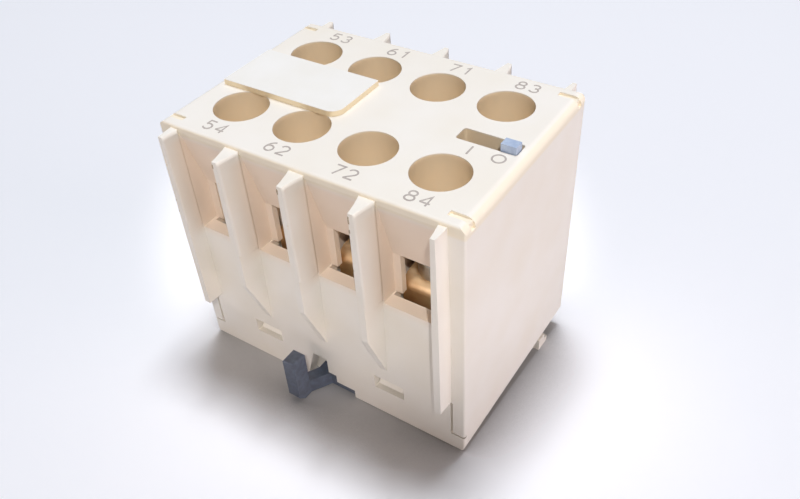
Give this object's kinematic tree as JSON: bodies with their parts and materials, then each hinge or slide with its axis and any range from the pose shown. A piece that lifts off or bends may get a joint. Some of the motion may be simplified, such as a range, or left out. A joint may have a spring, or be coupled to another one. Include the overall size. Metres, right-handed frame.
{
  "type": "auxiliary contact block",
  "caption": "Auxiliary contact block for a contactor, with finned wire bays on both long sides, screwdriver holes, an indicator slot and a release latch.",
  "frame": {"origin": "middle of the rear face, where the block meets the contactor", "axes": "+Z towards the face with the screwdriver holes, +X along the four columns towards the indicator, -Y towards the side with the release latch"},
  "size_m": [0.045, 0.0395, 0.0426],
  "materials": {
    "ivory_plastic": "moulded, satin",
    "marker_plastic": "moulded, smooth",
    "blue_plastic": "moulded, satin",
    "brass": "punched and bent, bare",
    "plated_steel": "zinc plated",
    "spring_steel": "drawn wire, bare"
  },
  "bodies": {
    "frame": {"housing": "ivory_plastic", "base": "ivory_plastic", "marker_plate": "marker_plastic", "wire_clamps": "brass", "terminal_screws": "plated_steel", "return_spring": "spring_steel", "latch_spring": "spring_steel", "near_terminal_1": "brass", "near_terminal_2": "brass", "near_terminal_3": "brass", "near_terminal_4": "brass", "far_terminal_1": "brass", "far_terminal_2": "brass", "far_terminal_3": "brass", "far_terminal_4": "brass"},
    "carrier": {"contact_carrier": "blue_plastic", "contact_spring_1": "spring_steel", "contact_spring_2": "spring_steel", "contact_spring_3": "spring_steel", "contact_spring_4": "spring_steel"},
    "bridge_1": {"contact_bridge_1": "brass"},
    "bridge_2": {"contact_bridge_2": "brass"},
    "bridge_3": {"contact_bridge_3": "brass"},
    "bridge_4": {"contact_bridge_4": "brass"},
    "latch": {"release_latch": "blue_plastic"}
  },
  "joints": [
    {"name": "carrier_slide", "type": "slide", "parent": "frame", "child": "carrier", "axis": [-1, 0, 0], "range_m": [0, 0.004], "stiffness_N_per_m": 250, "springref_m": -0.003, "deforming": ["return_spring"]},
    {"name": "bridge_1_slide", "type": "slide", "parent": "carrier", "child": "bridge_1", "axis": [1, 0, 0], "range_m": [0, 0.0008], "stiffness_N_per_m": 200, "springref_m": -0.001, "deforming": ["contact_spring_1"]},
    {"name": "bridge_2_slide", "type": "slide", "parent": "carrier", "child": "bridge_2", "axis": [1, 0, 0], "range_m": [0, 0.0008], "stiffness_N_per_m": 200, "springref_m": -0.001, "deforming": ["contact_spring_2"]},
    {"name": "bridge_3_slide", "type": "slide", "parent": "carrier", "child": "bridge_3", "axis": [1, 0, 0], "range_m": [0, 0.0008], "stiffness_N_per_m": 200, "springref_m": -0.001, "deforming": ["contact_spring_3"]},
    {"name": "bridge_4_slide", "type": "slide", "parent": "carrier", "child": "bridge_4", "axis": [1, 0, 0], "range_m": [0, 0.0008], "stiffness_N_per_m": 200, "springref_m": -0.001, "deforming": ["contact_spring_4"]},
    {"name": "latch_slide", "type": "slide", "parent": "frame", "child": "latch", "axis": [0, -1, 0], "range_m": [0, 0.002], "stiffness_N_per_m": 250, "springref_m": -0.001, "deforming": ["latch_spring"]}
  ],
  "couplings": [
    {"joint": "bridge_1_slide", "follows": "carrier_slide", "ratio": 0.2},
    {"joint": "bridge_2_slide", "follows": "carrier_slide", "ratio": 0.2},
    {"joint": "bridge_3_slide", "follows": "carrier_slide", "ratio": 0.2},
    {"joint": "bridge_4_slide", "follows": "carrier_slide", "ratio": 0.2}
  ]
}
